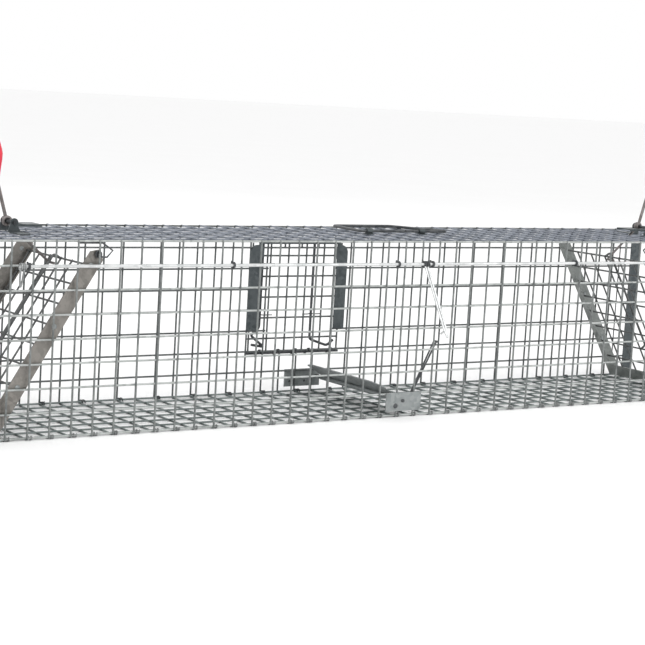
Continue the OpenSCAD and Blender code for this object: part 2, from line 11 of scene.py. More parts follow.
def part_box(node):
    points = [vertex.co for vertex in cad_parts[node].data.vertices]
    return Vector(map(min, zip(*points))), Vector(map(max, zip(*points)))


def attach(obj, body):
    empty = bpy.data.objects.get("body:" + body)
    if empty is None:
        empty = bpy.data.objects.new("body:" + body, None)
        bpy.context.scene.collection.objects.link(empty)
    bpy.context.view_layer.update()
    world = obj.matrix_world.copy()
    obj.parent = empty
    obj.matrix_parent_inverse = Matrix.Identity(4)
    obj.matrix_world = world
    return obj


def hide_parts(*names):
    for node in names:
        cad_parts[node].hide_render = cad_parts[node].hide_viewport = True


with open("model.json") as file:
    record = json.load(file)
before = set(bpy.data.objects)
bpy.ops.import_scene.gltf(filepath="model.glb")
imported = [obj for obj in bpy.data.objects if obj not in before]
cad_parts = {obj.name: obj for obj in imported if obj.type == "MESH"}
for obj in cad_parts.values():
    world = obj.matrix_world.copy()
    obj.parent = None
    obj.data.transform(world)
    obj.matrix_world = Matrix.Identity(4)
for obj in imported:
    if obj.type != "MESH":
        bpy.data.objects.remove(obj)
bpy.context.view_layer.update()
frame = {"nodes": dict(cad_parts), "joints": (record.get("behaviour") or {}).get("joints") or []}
random.seed(7)

# ---------------------------------------------------------------- sizes, in metres
MM = 0.001
CELLS_LONG, CELLS_WIDE, CELLS_HIGH = 44, 7, 8
PITCH_X = 25 * MM
PITCH_Z = 25.75 * MM
WIRE = 1.14 * MM
LAYER = 0.62 * MM
HALF_W = 90.125 * MM
FLOOR_Z = 2.3 * MM
FLOOR_MID = 1.8 * MM
TOP_Z = FLOOR_Z + CELLS_HIGH * PITCH_Z
CAGE_END = 551.1 * MM
X_INNER = [(i - CELLS_LONG / 2) * PITCH_X for i in range(1, CELLS_LONG)]
X_LINES = [-CAGE_END + WIRE] + X_INNER + [CAGE_END - WIRE]
Y_LINES = [(j - CELLS_WIDE / 2) * PITCH_Z for j in range(1, CELLS_WIDE)]
Z_LINES = [FLOOR_Z + k * PITCH_Z for k in range(CELLS_HIGH + 1)]
SLOPE = math.radians(31.8)
ROD_R = 1.8 * MM
PLATE_FACE = (91.225 + 1.2) * MM
# Domed rivet head: distance along its axis and radius, in millimetres
RIVET_HEAD = [(-0.1, 1.5), (0.0, 3.0), (0.45, 2.9), (0.9, 2.3), (1.2, 1.3), (1.28, 0.2)]

JOINTS = {j["name"]: j for j in frame["joints"]}


def pivot(joint):
    return Vector(JOINTS[joint]["pos_m"])


# ---------------------------------------------------------------- camera
def make_camera():
    """Camera in front of the left end, a little above the roof."""
    data = bpy.data.cameras.new("camera")
    cam = bpy.data.objects.new("camera", data)
    bpy.context.scene.collection.objects.link(cam)
    right = Vector((0.8272434, -0.5586962, 0.0593884))
    down = Vector((-0.0227301, -0.1388959, -0.9900461))
    ahead = Vector((0.5613838, 0.8176592, -0.1275999))
    turn = Matrix((right, -down, -ahead)).transposed().to_4x4()
    cam.matrix_world = Matrix.Translation((-1.28553, -1.79475, 0.38119)) @ turn
    data.sensor_width = 36
    data.lens = 102.09
    data.shift_x = 0.0036
    data.shift_y = 0.0007
    data.clip_end = 50
    bpy.context.scene.camera = cam


# ---------------------------------------------------------------- materials
def link(tree, a, b):
    tree.links.new(a, b)


def new_material(name, metallic, **values):
    mat = bpy.data.materials.new(name)
    mat.use_nodes = True
    tree = mat.node_tree
    shader = tree.nodes["Principled BSDF"]
    shader.inputs["Metallic"].default_value = metallic
    for key, value in values.items():
        shader.inputs[key.replace("_", " ")].default_value = value
    place = tree.nodes.new("ShaderNodeTexCoord")
    return mat, tree, shader, place.outputs["Object"]


def noise(tree, place, scale, detail=4.0, rough=0.6):
    n = tree.nodes.new("ShaderNodeTexNoise")
    n.inputs["Scale"].default_value = scale
    n.inputs["Detail"].default_value = detail
    n.inputs["Roughness"].default_value = rough
    link(tree, place, n.inputs["Vector"])
    return n.outputs["Fac"]


def spread(tree, value, low, high, to_low, to_high):
    n = tree.nodes.new("ShaderNodeMapRange")
    for key, number in zip(("From Min", "From Max", "To Min", "To Max"), (low, high, to_low, to_high)):
        n.inputs[key].default_value = number
    link(tree, value, n.inputs["Value"])
    return n.outputs["Result"]


def mix(tree, factor, a, b):
    n = tree.nodes.new("ShaderNodeMix")
    n.data_type = "RGBA"
    link(tree, factor, n.inputs["Factor"])
    for colour, key in ((a, "A"), (b, "B")):
        socket = [s for s in n.inputs if s.name == key and s.type == "RGBA"][0]
        if hasattr(colour, "is_output"):
            link(tree, colour, socket)
        else:
            socket.default_value = (*colour, 1)
    return [s for s in n.outputs if s.type == "RGBA"][0]


def bump(tree, shader, height, strength, distance):
    n = tree.nodes.new("ShaderNodeBump")
    n.inputs["Strength"].default_value = strength
    n.inputs["Distance"].default_value = distance
    link(tree, height, n.inputs["Height"])
    link(tree, n.outputs["Normal"], shader.inputs["Normal"])


def zinc(name, light, dark, stain, metallic=0.75, rough=(0.34, 0.58), spangle=140.0, grime=0.5):
    """Galvanised steel: crystal spangle, cloudy oxide, dark stains and fine grain."""
    mat, tree, shader, place = new_material(name, metallic)
    cells = tree.nodes.new("ShaderNodeTexVoronoi")
    cells.inputs["Scale"].default_value = spangle
    link(tree, place, cells.inputs["Vector"])
    split = tree.nodes.new("ShaderNodeSeparateColor")
    link(tree, cells.outputs["Color"], split.inputs["Color"])
    cloud = noise(tree, place, 22.0)
    grain = noise(tree, place, 900.0, 2.0)
    base = mix(tree, split.outputs["Red"], dark, light)
    cloudy = mix(tree, spread(tree, cloud, 0.40, 0.66, 0.0, 0.75), base, light)
    dirty = noise(tree, place, 55.0, 6.0, 0.7)
    colour = mix(tree, spread(tree, dirty, 0.52, 0.74, 0.0, grime), cloudy, stain)
    link(tree, colour, shader.inputs["Base Color"])
    link(tree, spread(tree, cloud, 0.3, 0.7, *rough), shader.inputs["Roughness"])
    bump(tree, shader, grain, 0.25, 0.0002)
    return mat


def dipped_plastic(name, colour, deep):
    """Soft dipped vinyl: nearly even, with faint runs and a fine orange-peel skin."""
    mat, tree, shader, place = new_material(name, 0.0, Coat_Weight=0.25, Coat_Roughness=0.2)
    runs = noise(tree, place, 35.0, 3.0)
    skin = noise(tree, place, 420.0, 2.0)
    link(tree, mix(tree, spread(tree, runs, 0.35, 0.7, 0.0, 0.6), colour, deep), shader.inputs["Base Color"])
    link(tree, spread(tree, runs, 0.3, 0.7, 0.30, 0.46), shader.inputs["Roughness"])
    bump(tree, shader, skin, 0.18, 0.0003)
    return mat


def floor_paint(name):
    """Pale matt paint, very slightly patchy."""
    mat, tree, shader, place = new_material(name, 0.0)
    patches = noise(tree, place, 3.0)
    link(tree, mix(tree, patches, (0.93, 0.93, 0.93), (0.97, 0.97, 0.97)), shader.inputs["Base Color"])
    link(tree, spread(tree, patches, 0.3, 0.7, 0.75, 0.85), shader.inputs["Roughness"])
    return mat


# Lit and shaded copies of one galvanised wire: the front wall's level wires are lighter as a painted highlight, its
# uprights darker as painted shade.
FRONT_UPRIGHT_PAINTED_SHADE = zinc("zinc_wire_front_painted_shade", (0.27, 0.285, 0.28), (0.15, 0.16, 0.16), (0.06, 0.065, 0.065))
LEVEL_WIRE_PAINTED_HIGHLIGHT = zinc("zinc_wire_level_painted_highlight", (0.50, 0.52, 0.51), (0.32, 0.34, 0.33), (0.13, 0.14, 0.14))
# Same galvanised wire, darkened: painted shade on the rear wall, its access door and staples.
REAR_WIRE_PAINTED_SHADE = zinc("zinc_wire_rear_painted_shade", (0.16, 0.17, 0.17), (0.075, 0.083, 0.083), (0.035, 0.038, 0.038))
ROOF_WIRE = zinc("zinc_wire_roof", (0.27, 0.29, 0.33), (0.12, 0.135, 0.16), (0.05, 0.055, 0.07))
FLOOR_WIRE = zinc("zinc_wire_floor", (0.24, 0.27, 0.265), (0.11, 0.13, 0.13), (0.045, 0.055, 0.055))
DOOR_WIRE = zinc("zinc_wire_door", (0.15, 0.155, 0.155), (0.075, 0.08, 0.08), (0.03, 0.033, 0.033))
ROD_WIRE = zinc(
    "zinc_rod", (0.74, 0.75, 0.75), (0.52, 0.54, 0.54), (0.26, 0.27, 0.27), rough=(0.24, 0.4)
)
ARM_WIRE = zinc(
    "zinc_arm", (0.34, 0.35, 0.35), (0.20, 0.21, 0.21), (0.09, 0.095, 0.095), rough=(0.26, 0.42)
)
LEVER_WIRE = zinc("zinc_lever", (0.24, 0.22, 0.215), (0.12, 0.11, 0.105), (0.05, 0.045, 0.045))
DARK_WIRE = zinc("zinc_dark", (0.11, 0.115, 0.12), (0.05, 0.055, 0.06), (0.022, 0.024, 0.024))
STRIP = zinc(
    "zinc_sheet", (0.27, 0.285, 0.275), (0.18, 0.195, 0.19), (0.09, 0.10, 0.095), spangle=220.0
)
WARM_STRIP = zinc(
    "zinc_sheet_warm", (0.275, 0.26, 0.24), (0.18, 0.172, 0.158), (0.09, 0.083, 0.075), spangle=220.0
)
# Same zinc sheet, darkened: painted shade on the end frames, edging, brackets and handle clips.
DARK_STRIP_PAINTED_SHADE = zinc(
    "zinc_sheet_painted_shade", (0.11, 0.125, 0.13), (0.06, 0.07, 0.075), (0.03, 0.033, 0.036), spangle=220.0
)
PLATE = zinc(
    "zinc_plate", (0.34, 0.36, 0.36), (0.23, 0.25, 0.25), (0.12, 0.13, 0.13), spangle=220.0
)
RED = dipped_plastic("red_grip", (0.78, 0.012, 0.045), (0.62, 0.006, 0.03))


# ---------------------------------------------------------------- shapes
def fillet(points, radius, steps=5):
    """The points with each inner corner rounded."""
    points = [Vector(p) for p in points]
    out = [points[0]]
    for before, corner, after in zip(points, points[1:], points[2:]):
        a, b = (before - corner), (after - corner)
        reach = min(radius, 0.48 * a.length, 0.48 * b.length)
        a, b = corner + a.normalized() * reach, corner + b.normalized() * reach
        for i in range(steps + 1):
            t = i / steps
            out.append((1 - t) ** 2 * a + 2 * t * (1 - t) * corner + t * t * b)
    out.append(points[-1])
    return out


def helix(centre, axis, start, radius, turns, advance, steps=12):
    """Points round an axis, beginning at the direction start, moving along the axis by advance."""
    axis = Vector(axis).normalized()
    u = Vector(start).normalized()
    w = axis.cross(u)
    count = max(4, int(abs(turns) * steps))
    out = []
    for i in range(count + 1):
        t = i / count
        angle = 2 * math.pi * turns * t
        around = u * math.cos(angle) + w * math.sin(angle)
        out.append(Vector(centre) + axis * (advance * t) + around * radius)
    return out


class Shape:
    """Collects tubes, domes and slabs into one mesh."""

    def __init__(self):
        self.verts = []
        self.faces = []

    def ring_faces(self, rings, sides, first):
        for r in range(rings - 1):
            for s in range(sides):
                a = first + r * sides + s
                b = first + r * sides + (s + 1) % sides
                self.faces.append((a, b, b + sides, a + sides))

    def tube(self, points, radius, sides=8):
        points = [Vector(p) for p in points]
        first = len(self.verts)
        ahead = (points[1] - points[0]).normalized()
        side = ahead.orthogonal().normalized()
        for i, p in enumerate(points):
            if 0 < i < len(points) - 1:
                step = (points[i + 1] - points[i - 1]).normalized()
            else:
                step = (points[min(i + 1, len(points) - 1)] - points[max(i - 1, 0)]).normalized()
            side = (side - step * side.dot(step)).normalized()
            other = step.cross(side)
            r = radius[i] if isinstance(radius, (list, tuple)) else radius
            for s in range(sides):
                angle = 2 * math.pi * s / sides
                self.verts.append(p + (side * math.cos(angle) + other * math.sin(angle)) * r)
        self.ring_faces(len(points), sides, first)
        self.faces.append(tuple(first + s for s in reversed(range(sides))))
        last = first + (len(points) - 1) * sides
        self.faces.append(tuple(last + s for s in range(sides)))
        return self

    def blob(self, centre, sizes, sides=6):
        """A small lens of zinc, sizes along X, Y and Z."""
        first = len(self.verts)
        centre = Vector(centre)
        for height, width in ((-1.0, 0.25), (-0.45, 0.9), (0.45, 0.9), (1.0, 0.25)):
            for s in range(sides):
                angle = 2 * math.pi * s / sides
                across = math.cos(angle) * width * sizes[0]
                deep = math.sin(angle) * width * sizes[1]
                self.verts.append(centre + Vector((across, deep, height * sizes[2])))
        self.ring_faces(4, sides, first)
        self.faces.append(tuple(first + s for s in reversed(range(sides))))
        self.faces.append(tuple(first + 3 * sides + s for s in range(sides)))

    def lathe(self, centre, axis, profile, sides=20):
        """profile is a list of (distance along axis, radius)."""
        axis = Vector(axis).normalized()
        u = axis.orthogonal().normalized()
        w = axis.cross(u)
        first = len(self.verts)
        for along, radius in profile:
            for s in range(sides):
                angle = 2 * math.pi * s / sides
                around = u * math.cos(angle) + w * math.sin(angle)
                self.verts.append(Vector(centre) + axis * along + around * radius)
        self.ring_faces(len(profile), sides, first)
        self.faces.append(tuple(first + s for s in reversed(range(sides))))
        last = first + (len(profile) - 1) * sides
        self.faces.append(tuple(last + s for s in range(sides)))

    def slab(self, outline, normal, thickness):
        """A flat sheet from its outline of points, thickened along the normal."""
        first = len(self.verts)
        n = len(outline)
        up = Vector(normal).normalized() * thickness
        self.verts += [Vector(p) for p in outline] + [Vector(p) + up for p in outline]
        self.faces.append(tuple(first + i for i in reversed(range(n))))
        self.faces.append(tuple(first + n + i for i in range(n)))
        for i in range(n):
            j = (i + 1) % n
            self.faces.append((first + i, first + j, first + n + j, first + n + i))

    def make(self, name, material, body, nodes=(), slot="zinc_wire", bevel=0.0):
        mesh = bpy.data.meshes.new(name)
        mesh.from_pydata([tuple(v) for v in self.verts], [], self.faces)
        mesh.validate()
        mesh.update()
        obj = bpy.data.objects.new(name, mesh)
        bpy.context.scene.collection.objects.link(obj)
        mesh.materials.append(material)
        mesh.shade_smooth()
        mesh.set_sharp_from_angle(angle=math.radians(42))
        if bevel:
            edge = obj.modifiers.new("edge", "BEVEL")
            edge.width = bevel
            edge.segments = 2
            edge.limit_method = "ANGLE"
        if nodes:
            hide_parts(*nodes)
        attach(obj, body)
        return obj


def jitter(size=0.10 * MM):
    return random.uniform(-size, size)


class Wall:
    """A welded mesh sheet in the plane of two directions, its cross wires on the outer side."""

    def __init__(self, origin, along, across, outward):
        self.origin = Vector(origin)
        self.along, self.across, self.outward = Vector(along), Vector(across), Vector(outward)
        self.shape = Shape()
        self.uprights = Shape()
        self.long_wires = []
        self.cross_wires = []

    def at(self, a, b, out=0.0):
        return self.origin + self.along * a + self.across * b + self.outward * out

    def wire(self, fixed, low, high, stops, is_long, layer):
        lines = [low] + [s for s in stops if low + 2 * MM < s < high - 2 * MM] + [high]
        free = is_long or abs(fixed) < CAGE_END - 2 * WIRE
        drift = jitter() if free else 0.0
        points = []
        for p in lines:
            side = fixed + (drift + jitter(0.07 * MM) if free else 0.0)
            out = layer + jitter(0.06 * MM)
            points.append(self.at(p, side, out) if is_long else self.at(side, p, out))
        (self.shape if is_long else self.uprights).tube(points, WIRE)

    def long(self, b, spans, stops):
        for low, high in spans:
            self.wire(b, low, high, stops, True, -LAYER)
            self.long_wires.append((b, low, high))

    def cross(self, a, spans, stops):
        for low, high in spans:
            self.wire(a, low, high, stops, False, LAYER)
            self.cross_wires.append((a, low, high))

    def welds(self):
        size = 1.30 * MM
        for b, low, high in self.long_wires:
            for a, start, stop in self.cross_wires:
                if low - MM <= a <= high + MM and start - MM <= b <= stop + MM:
                    self.shape.blob(self.at(a, b), (size if abs(a) < CAGE_END - 2 * WIRE else WIRE, size, size))

    def make(self, name, level_material, upright_material, body, node):
        self.welds()
        self.shape.make(name + "_levels", level_material, body, [node])
        self.uprights.make(name + "_uprights", upright_material, body, [node])


def cage_wall(name, node, side, level_material, upright_material):
    """Front wall for side -1, rear wall with its access opening for side 1."""
    wall = Wall((0, side * HALF_W, 0), (1, 0, 0), (0, 0, 1), (0, side, 0))
    opening = (-3 * PITCH_X, PITCH_X) if side > 0 else None
    low, high = Z_LINES[2], Z_LINES[7]
    end = CAGE_END
    for z in Z_LINES:
        cut = opening and low + MM < z < high - MM
        spans = [(-end, opening[0] + WIRE), (opening[1] - WIRE, end)] if cut else [(-end, end)]
        wall.long(z, spans, X_LINES)
    top = TOP_Z - 3 * MM
    for x in X_LINES:
        cut = opening and opening[0] + MM < x < opening[1] - MM
        spans = [(Z_LINES[0] - WIRE, low + WIRE), (high - WIRE, top)] if cut else [(Z_LINES[0] - WIRE, top)]
        wall.cross(x, spans, Z_LINES)
        corner = fillet(
            [wall.at(x, top - MM, LAYER), wall.at(x, TOP_Z + LAYER, LAYER), wall.at(x, TOP_Z + LAYER, -4 * MM)], 3 * MM
        )
        wall.uprights.tube(corner, WIRE)
    wall.make(name, level_material, upright_material, "cage", node)


def roof_wall():
    """Roof mesh, its cross wires cut short where the levers pass."""
    wall = Wall((0, 0, TOP_Z), (1, 0, 0), (0, 1, 0), (0, 0, 1))
    for y in Y_LINES:
        wall.long(y, [(-CAGE_END, CAGE_END)], X_LINES)
    edge = HALF_W - 3 * MM
    lever = abs(pivot("right_lever_pivot").x)
    for x in X_LINES:
        slotted = abs(abs(x) - lever) < 0.6 * PITCH_X
        gap = PITCH_Z / 2
        spans = [(-edge, -gap), (gap, edge)] if slotted else [(-edge, edge)]
        wall.cross(x, spans, Y_LINES)
    wall.make("roof_wires", ROOF_WIRE, ROOF_WIRE, "cage", "top_mesh")


def floor_wall():
    """Floor mesh, with a wire along each edge under the walls."""
    wall = Wall((0, 0, FLOOR_MID), (1, 0, 0), (0, 1, 0), (0, 0, -1))
    edge = HALF_W - 2.2 * MM
    for y in [-edge] + Y_LINES + [edge]:
        wall.long(y, [(-CAGE_END, CAGE_END)], X_LINES)
    for x in X_LINES:
        wall.cross(x, [(-edge - WIRE, edge + WIRE)], Y_LINES)
    wall.make("floor_wires", FLOOR_WIRE, FLOOR_WIRE, "cage", "floor_mesh")


def wrapped_ends(name, node, side, step, material):
    """Wire ends wrapped round the floor's edge wire and the wall's lowest wire."""
    shape = Shape()
    thin = 0.68 * MM
    reach = 3.0 * MM
    height = 1.66 * MM
    for i in range(1, CELLS_LONG, step):
        x = X_LINES[i] + (1.4 + random.uniform(-0.6, 0.6)) * MM
        y = side * (HALF_W - 1.1 * MM)
        points = []
        turns = random.choice((1.6, 2.1, 2.6))
        for k in range(27):
            t = k / 26
            angle = 2 * math.pi * turns * t + 0.6
            points.append(
                Vector((x + 5.2 * MM * t, y + side * reach * math.cos(angle), 2.5 * MM + height * math.sin(angle)))
            )
        shape.tube(points, thin, 7)
    shape.make(name, material, "cage", [node], "clips_and_rivets")


# ---------------------------------------------------------------- end doors
class DoorPlane:
    """u runs down the shut door from its hinge, v outwards, y across."""

    def __init__(self, side):
        self.hinge = pivot("right_door_hinge" if side > 0 else "left_door_hinge")
        self.u = Vector((side * math.sin(SLOPE), 0, -math.cos(SLOPE)))
        self.v = Vector((side * math.cos(SLOPE), 0, math.sin(SLOPE)))

    def at(self, u, y, v):
        return self.hinge + self.u * u + Vector((0, y, 0)) + self.v * v


def end_door(side):
    """Wires, rivets, lift guide and hinge hangers of one sloping door."""
    hand = "right" if side > 0 else "left"
    body = hand + "_door"
    plane = DoorPlane(side)
    half = 80 * MM
    rows = [(12 + 25 * r) * MM for r in range(9)]
    columns = [(-80 + 160 * c / 6) * MM for c in range(7)]
    wall = Wall(plane.at(0, 0, -6.7 * MM), plane.u, (0, 1, 0), plane.v)
    for y in columns:
        wall.long(y, [(rows[0] - 2 * MM, rows[-1] + 2 * MM)], rows)
    for u in rows:
        wall.cross(u, [(-half - 3 * MM, half + 3 * MM)], columns)
    wall.make(hand + "_door_wires", DOOR_WIRE, DOOR_WIRE, body, hand + "_door_mesh")

    rivets = Shape()
    for u in (14, 89, 163):
        for face in (-1, 1):
            spot = plane.at(u * MM, face * 86 * MM, 0)
            rivets.lathe(spot, (0, face, 0), [(a * MM, r * MM) for a, r in RIVET_HEAD])
            back = plane.at(u * MM, face * 84.8 * MM, 0)
            rivets.lathe(back, (0, -face, 0), [(0, 2.6 * MM), (0.7 * MM, 2.5 * MM), (1.2 * MM, 1.7 * MM)])
    rivets.make(hand + "_rivet_heads", PLATE, body, [hand + "_door_rivets"], "clips_and_rivets")

    bends = [(12, -5.6), (12, 3), (162, 3), (162, -5.6)]
    guide = Shape().tube(fillet([plane.at(u * MM, 0, v * MM) for u, v in bends], 5 * MM), 1.5 * MM, 12)
    guide.make(hand + "_guide_wire", DOOR_WIRE, body, [hand + "_lift_guide"])

    hanger = Shape()
    out = Vector((side, 0, 0))
    up = Vector((0, 0, 1))
    for face in (-1, 1):
        centre = Vector((plane.hinge.x, face * 88.0 * MM, plane.hinge.z))
        start = centre - Vector((0, face * 0.4 * MM, 0))
        ring = helix(start, (0, 1, 0), -out - up * 0.3, 3.1 * MM, -side * 1.1, face * 0.8 * MM, 18)
        strap = ((-10, -3), (-16.5, 4), (-4.5, 12.0), (4, 12.1), (22, 12.1))
        top_leg = ((-3, 12.6), (8, 12.4), (16, 12.6))
        legs = [centre + out * a * MM + up * b * MM for a, b in strap]
        hanger.tube(ring + legs, 1.0 * MM, 8)
        hanger.tube([centre + out * a * MM + up * b * MM for a, b in top_leg], 1.25 * MM, 8)
    hanger.make(hand + "_hanger_wires", DARK_WIRE, "cage", [hand + "_hinge_hangers"], "zinc_sheet")


# ---------------------------------------------------------------- levers
def lever(side):
    """Lever wire with its coil and hook, and the dipped grip on its upper arm."""
    hand = "right" if side > 0 else "left"
    body = hand + "_lever_arm"
    pin = pivot(hand + "_lever_pivot")
    y = 7 * MM

    def at(reach, lean, off=y):
        lean = math.radians(lean)
        return pin + Vector((side * reach * math.sin(lean), off, reach * math.cos(lean)))

    # Leans of the grip arm and of the hook arm from straight up, in degrees
    up, down = 16.5, 229.2
    arm = Shape()
    wire_r = 1.95 * MM
    start = pin + Vector((0, y - 3 * MM, 0))
    coil = helix(start, (0, 1, 0), at(1, down, 0) - pin, 4.0 * MM, side * 1.55, 6 * MM, 18)
    hook = [at(68 * MM, down, -6 * MM), at(68 * MM, down), at(40 * MM, down), at(9 * MM, down)]
    arm.tube(fillet(hook, 3 * MM), 1.5 * MM, 12)
    arm.tube(coil, 1.9 * MM, 12)
    arm.tube([at(4 * MM, up), at(30 * MM, up), at(104 * MM, up)], wire_r, 12)
    arm.make(hand + "_lever_wire", LEVER_WIRE, body, [hand + "_lever"])

    grip = Shape()
    spine = at(1, up, 0) - pin
    wide = Vector((0, 1, 0)).cross(spine).normalized()
    # Distance along the arm, half width and half thickness, in millimetres
    stations = [
        (46.2, 2.6, 2.6), (47.5, 3.4, 3.2), (52, 5.2, 4.2), (58, 7.8, 5.2), (65, 10.9, 5.9),
        (71, 13.0, 6.3), (76, 13.4, 6.4), (84, 13.1, 6.4), (96, 12.3, 6.3), (110, 11.4, 6.2),
        (122, 10.4, 6.0), (129, 8.6, 5.5), (133.5, 5.8, 4.0), (135.6, 2.4, 1.8),
    ]
    sides = 28
    first = len(grip.verts)
    for reach, half, thick in stations:
        centre = at(reach * MM, up)
        for s in range(sides):
            angle = 2 * math.pi * s / sides
            c, k = math.cos(angle), math.sin(angle)
            across = math.copysign(abs(c) ** 0.85, c) * half * MM
            deep = math.copysign(abs(k) ** 0.85, k) * thick * MM
            grip.verts.append(centre + wide * across + Vector((0, deep, 0)))
    grip.ring_faces(len(stations), sides, first)
    grip.faces.append(tuple(first + s for s in reversed(range(sides))))
    grip.faces.append(tuple(first + (len(stations) - 1) * sides + s for s in range(sides)))
    grip.make(hand + "_grip_sleeve", RED, body, [hand + "_grip"], "red_grip")


# ---------------------------------------------------------------- trigger rod
def trigger():
    """Trigger rod with its crank and two fingers, and the guides it turns in."""
    line = pivot("trigger_rod_turn")
    low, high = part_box("trigger_rod")
    rod = Shape()
    count = 23
    rod.tube(
        [(low.x + (high.x - low.x) * i / (count - 1), line.y + jitter(), line.z + jitter()) for i in range(count)],
        ROD_R,
        14,
    )
    rod.make("trigger_wire", ROD_WIRE, "trigger", ["trigger_rod"])

    def swing(x, angle, out, down):
        """A point on something fixed on the rod: out towards the front, down along its length."""
        a = math.radians(angle)
        y = line.y - math.sin(a) * down - math.cos(a) * out
        z = line.z - math.cos(a) * down + math.sin(a) * out
        return Vector((x, y, z))

    middle = 26 * MM
    wire_r = 1.25 * MM
    lean = 32
    crank = Shape()
    loop = [
        swing(middle - 1.9 * MM, lean, 0, 3.0 * MM),
        swing(middle - 1.5 * MM, lean, 0, 30 * MM),
        swing(middle - 1.7 * MM, lean, 0, 82 * MM),
        swing(middle, lean, 0, 95.4 * MM),
        swing(middle + 1.7 * MM, lean, 0, 82 * MM),
        swing(middle + 1.4 * MM, lean, 0, 30 * MM),
        swing(middle + 1.6 * MM, lean, 0, 3.0 * MM),
    ]
    crank.tube(fillet(loop, 3 * MM), wire_r, 10)
    hook = [
        swing(middle + 2.6 * MM, lean, 0, 84 * MM),
        swing(middle + 2.6 * MM, lean, -9 * MM, 84 * MM),
        swing(middle + 2.6 * MM, lean, -12.2 * MM, 84 * MM),
    ]
    crank.tube(hook, wire_r, 10)
    crank.make("crank_wire", ROD_WIRE, "trigger", ["crank"])
    joint = Shape()
    start = (middle - 4 * MM, line.y, line.z)
    coil = helix(start, (1, 0, 0), (0, 0, -1), ROD_R + 1.1 * MM, 3, 8 * MM, 16)
    joint.tube(coil, 1.15 * MM, 8)
    joint.make("crank_coil", DARK_WIRE, "trigger")

    for side, hand in ((-1, "left"), (1, "right")):
        x = side * 490 * MM
        finger = Shape()
        drop = -10
        legs = [
            swing(x - 2.0 * MM, drop, 0, 2.6 * MM),
            swing(x - 1.6 * MM, drop, 0, 14 * MM),
            swing(x, drop, 0, 22.6 * MM),
            swing(x + 1.6 * MM, drop, 0, 14 * MM),
            swing(x + 2.0 * MM, drop, 0, 2.6 * MM),
        ]
        finger_r = 1.05 * MM
        finger.tube(fillet(legs, 2 * MM), finger_r, 10)
        start = (x - 3 * MM, line.y, line.z)
        finger.tube(helix(start, (1, 0, 0), (0, 0, -1), ROD_R + finger_r, 3, 6 * MM, 16), finger_r, 8)
        finger.make(hand + "_catch_wire", ARM_WIRE, "trigger", [hand + "_door_catch"])

    guides = Shape()
    wall_y = -HALF_W
    r = 1.1 * MM
    for x in (-482, -237.5, -12.5, 37.5, 262.5, 482):
        x *= MM
        start = (x - 2.2 * MM, line.y, line.z)
        eye_r = ROD_R + r + 0.06 * MM
        ring = helix(start, (1, 0, 0), (0, 0.8, -0.6), eye_r, -0.92, 2.0 * MM, 20)
        tail = [Vector((x + 0.6 * MM, wall_y + 1.2 * MM, line.z + 3.3 * MM))]
        start = (x + 1.2 * MM, wall_y + LAYER, line.z)
        wrap = helix(start, (1, 0, 0), (0, 0.6, 0.8), WIRE + r, 1.3, 2.4 * MM, 18)
        guides.tube(ring + tail + wrap, r, 8)
    guides.make("rod_guide_wires", DARK_WIRE, "cage", ["rod_guides"], "clips_and_rivets")


# ---------------------------------------------------------------- treadle
def treadle():
    """Treadle arm, axle and the rivets of its two plates."""
    axle = pivot("treadle_tilt")
    y = -84 * MM
    arm = Shape()
    foot = axle + Vector((3 * MM, y, 0))
    knee = axle + Vector((14 * MM, y, MM))
    tip = axle + Vector((49 * MM, y, 68.2 * MM))
    lean = (tip - knee).normalized()
    side = Vector((0, 1, 0)).cross(lean).normalized() * 1.75 * MM
    out = [foot - Vector((0, 0, 1.3 * MM)), knee - side * 0.8 + Vector((MM, 0, -MM)), tip - side]
    back = [tip + side, knee + side, foot + Vector((0, 0, 1.3 * MM))]
    loop = out + [tip + lean * 1.5 * MM + Vector((4.6 * MM, 0, -1.6 * MM))] + back
    arm.tube(fillet(loop, 2 * MM), 1.05 * MM, 10)
    arm.tube(helix((axle.x, y - 1.7 * MM, axle.z), (0, 1, 0), (1, 0, 0), 2.9 * MM, 2, 3.4 * MM, 16), 0.85 * MM, 8)
    arm.make("treadle_arm_wire", DARK_WIRE, "treadle", ["treadle_arm"])

    low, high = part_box("treadle_axle")
    pin = Shape()
    length = high.y - low.y
    outline = [(0, 1.4 * MM), (0.6 * MM, 2.0 * MM), (length - 0.6 * MM, 2.0 * MM), (length, 1.4 * MM)]
    pin.lathe((axle.x, low.y, axle.z), (0, 1, 0), outline)
    pin.make("axle_pin", DARK_WIRE, "treadle", ["treadle_axle"])

    heads = Shape()
    for face, spots in ((-1, (-2,)), (1, (-32, -10))):
        for x in spots:
            spot = (x * MM, face * PLATE_FACE, 14 * MM)
            heads.lathe(spot, (0, face, 0), [(a * MM, r * MM) for a, r in RIVET_HEAD])
    heads.make("plate_rivet_heads", DARK_WIRE, "cage", ["treadle_plate_rivets"], "clips_and_rivets")


